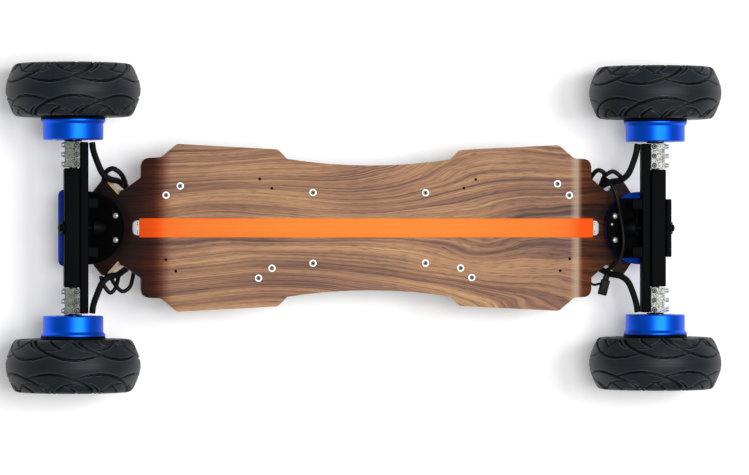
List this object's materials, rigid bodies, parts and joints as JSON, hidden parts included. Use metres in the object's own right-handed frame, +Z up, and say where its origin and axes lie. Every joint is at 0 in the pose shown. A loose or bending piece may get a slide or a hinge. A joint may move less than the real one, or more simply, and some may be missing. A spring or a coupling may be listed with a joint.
{
  "type": "electric skateboard",
  "caption": "All-terrain electric skateboard: walnut ply deck with an orange stripe, sprung steering trucks, hub motors and wide treaded tyres.",
  "frame": {"origin": "on the ground under the middle of the board, midway between the two axles", "axes": "+X along the board towards the front truck (the one with the bumper plate), +Y to the left, +Z up"},
  "size_m": [1.026, 0.462, 0.19],
  "materials": {
    "walnut_ply": "clear-lacquered walnut veneer on pale ply, ends stained dark",
    "orange_inlay": "satin orange strip",
    "zinc_plated_steel": "bright zinc plate",
    "polished_steel": "polished",
    "black_oxide_steel": "black oxide",
    "black_plastic": "fine moulded texture",
    "black_rubber": "matt",
    "cell_wrap": "heat-shrunk sleeve",
    "bare_aluminium": "extruded, bead blasted",
    "blue_anodised": "turned and anodised blue",
    "black_urethane": "cast urethane",
    "lead_sleeve": "black sleeved cable",
    "black_powder_coat": "satin black powder coat",
    "cast_aluminium": "sand-cast grain",
    "stator_steel": "laminations with copper windings",
    "tyre_rubber": "matt moulded tread"
  },
  "bodies": {
    "deck_body": {"deck": "walnut_ply", "deck_stripe": "orange_inlay", "stripe_clip_front": "zinc_plated_steel", "stripe_clip_rear": "zinc_plated_steel", "deck_screw_1": "zinc_plated_steel", "deck_screw_2": "zinc_plated_steel", "deck_screw_3": "zinc_plated_steel", "deck_screw_4": "zinc_plated_steel", "battery_tub": "black_plastic", "tub_seal": "black_rubber", "battery_pack": "cell_wrap", "motor_controller": "bare_aluminium", "charge_port": "black_plastic", "lead_gland_front": "black_plastic", "lead_gland_rear": "black_plastic", "truck_base_front": "blue_anodised", "base_cover_front": "black_plastic", "kingpin_front": "zinc_plated_steel", "kingpin_nut_front": "black_oxide_steel", "damper_front_left": "black_urethane", "motor_lead_front_left": "lead_sleeve", "damper_front_right": "black_urethane", "motor_lead_front_right": "lead_sleeve", "truck_base_rear": "blue_anodised", "base_cover_rear": "black_plastic", "kingpin_rear": "zinc_plated_steel", "kingpin_nut_rear": "black_oxide_steel", "damper_rear_left": "black_urethane", "motor_lead_rear_left": "lead_sleeve", "damper_rear_right": "black_urethane", "motor_lead_rear_right": "lead_sleeve"},
    "front_truck": {"hanger_front": "black_powder_coat", "hanger_rail_front": "black_powder_coat", "pivot_bushing_front": "black_urethane", "bumper_plate": "black_powder_coat", "axle_clamp_front_left": "cast_aluminium", "motor_stator_front_left": "stator_steel", "axle_clamp_front_right": "cast_aluminium", "motor_stator_front_right": "stator_steel"},
    "rear_truck": {"hanger_rear": "black_powder_coat", "hanger_rail_rear": "black_powder_coat", "pivot_bushing_rear": "black_urethane", "axle_clamp_rear_left": "cast_aluminium", "motor_stator_rear_left": "stator_steel", "axle_clamp_rear_right": "cast_aluminium", "motor_stator_rear_right": "stator_steel"},
    "wheel_front_left": {"tyre_front_left": "tyre_rubber", "wheel_rim_front_left": "black_powder_coat", "motor_can_front_left": "blue_anodised"},
    "wheel_front_right": {"tyre_front_right": "tyre_rubber", "wheel_rim_front_right": "black_powder_coat", "motor_can_front_right": "blue_anodised"},
    "wheel_rear_left": {"tyre_rear_left": "tyre_rubber", "wheel_rim_rear_left": "black_powder_coat", "motor_can_rear_left": "blue_anodised"},
    "wheel_rear_right": {"tyre_rear_right": "tyre_rubber", "wheel_rim_rear_right": "black_powder_coat", "motor_can_rear_right": "blue_anodised"},
    "power_button": {"power_button": "polished_steel"},
    "charge_cap": {"charge_port_cap": "black_rubber"}
  },
  "joints": [
    {"name": "front_steer", "type": "hinge", "parent": "deck_body", "child": "front_truck", "pos_m": [0.418, 0, 0.095], "axis": [0.9397, 0, 0.342], "range_deg": [-15, 15], "stiffness_Nm_per_rad": 60, "deforming": ["damper_front_left", "damper_front_right", "motor_lead_front_left", "motor_lead_front_right"]},
    {"name": "rear_steer", "type": "hinge", "parent": "deck_body", "child": "rear_truck", "pos_m": [-0.418, 0, 0.095], "axis": [-0.9397, 0, 0.342], "range_deg": [-15, 15], "stiffness_Nm_per_rad": 60, "deforming": ["damper_rear_left", "damper_rear_right", "motor_lead_rear_left", "motor_lead_rear_right"]},
    {"name": "front_left_spin", "type": "hinge", "parent": "front_truck", "child": "wheel_front_left", "pos_m": [0.418, 0.194, 0.095], "axis": [0, 1, 0], "continuous": true},
    {"name": "front_right_spin", "type": "hinge", "parent": "front_truck", "child": "wheel_front_right", "pos_m": [0.418, -0.194, 0.095], "axis": [0, 1, 0], "continuous": true},
    {"name": "rear_left_spin", "type": "hinge", "parent": "rear_truck", "child": "wheel_rear_left", "pos_m": [-0.418, 0.194, 0.095], "axis": [0, 1, 0], "continuous": true},
    {"name": "rear_right_spin", "type": "hinge", "parent": "rear_truck", "child": "wheel_rear_right", "pos_m": [-0.418, -0.194, 0.095], "axis": [0, 1, 0], "continuous": true},
    {"name": "power_button_press", "type": "slide", "parent": "deck_body", "child": "power_button", "axis": [0, 1, 0], "range_m": [0, 0.0015], "stiffness_N_per_m": 600},
    {"name": "charge_cap_hinge", "type": "hinge", "parent": "deck_body", "child": "charge_cap", "pos_m": [-0.155, -0.0804, 0.099], "axis": [-1, 0, 0], "range_deg": [0, 95]}
  ]
}
